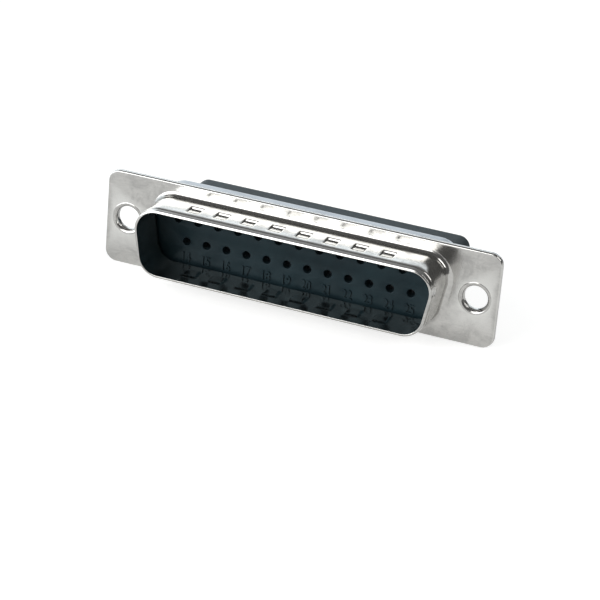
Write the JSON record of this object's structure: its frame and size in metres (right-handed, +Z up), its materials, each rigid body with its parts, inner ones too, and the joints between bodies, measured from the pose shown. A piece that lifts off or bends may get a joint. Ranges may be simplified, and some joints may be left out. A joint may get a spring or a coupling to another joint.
{
  "type": "d-sub connector housing",
  "caption": "Plug-side D-sub housing for crimp contacts: plated steel shell with a keyed shroud and two mounting ears round a black moulded insulator with empty contact cavities.",
  "frame": {"origin": "midway between the two mounting holes, on the front face of the flange", "axes": "+X along the flange, to the right when the mating side is seen; +Z up towards the long side of the keyed shroud and the wide row of contacts; -Y out of the mating side"},
  "size_m": [0.053, 0.0179, 0.0126],
  "materials": {
    "plated_steel": "bright tin plate on stamped and drawn steel",
    "black_plastic": "satin moulded, glass filled",
    "plated_eyelet": "bright tin plate on rolled steel"
  },
  "bodies": {
    "root": {"front_shell": "plated_steel", "rear_shell": "plated_steel", "insulator": "black_plastic", "left_eyelet": "plated_eyelet", "right_eyelet": "plated_eyelet"}
  },
  "joints": []
}
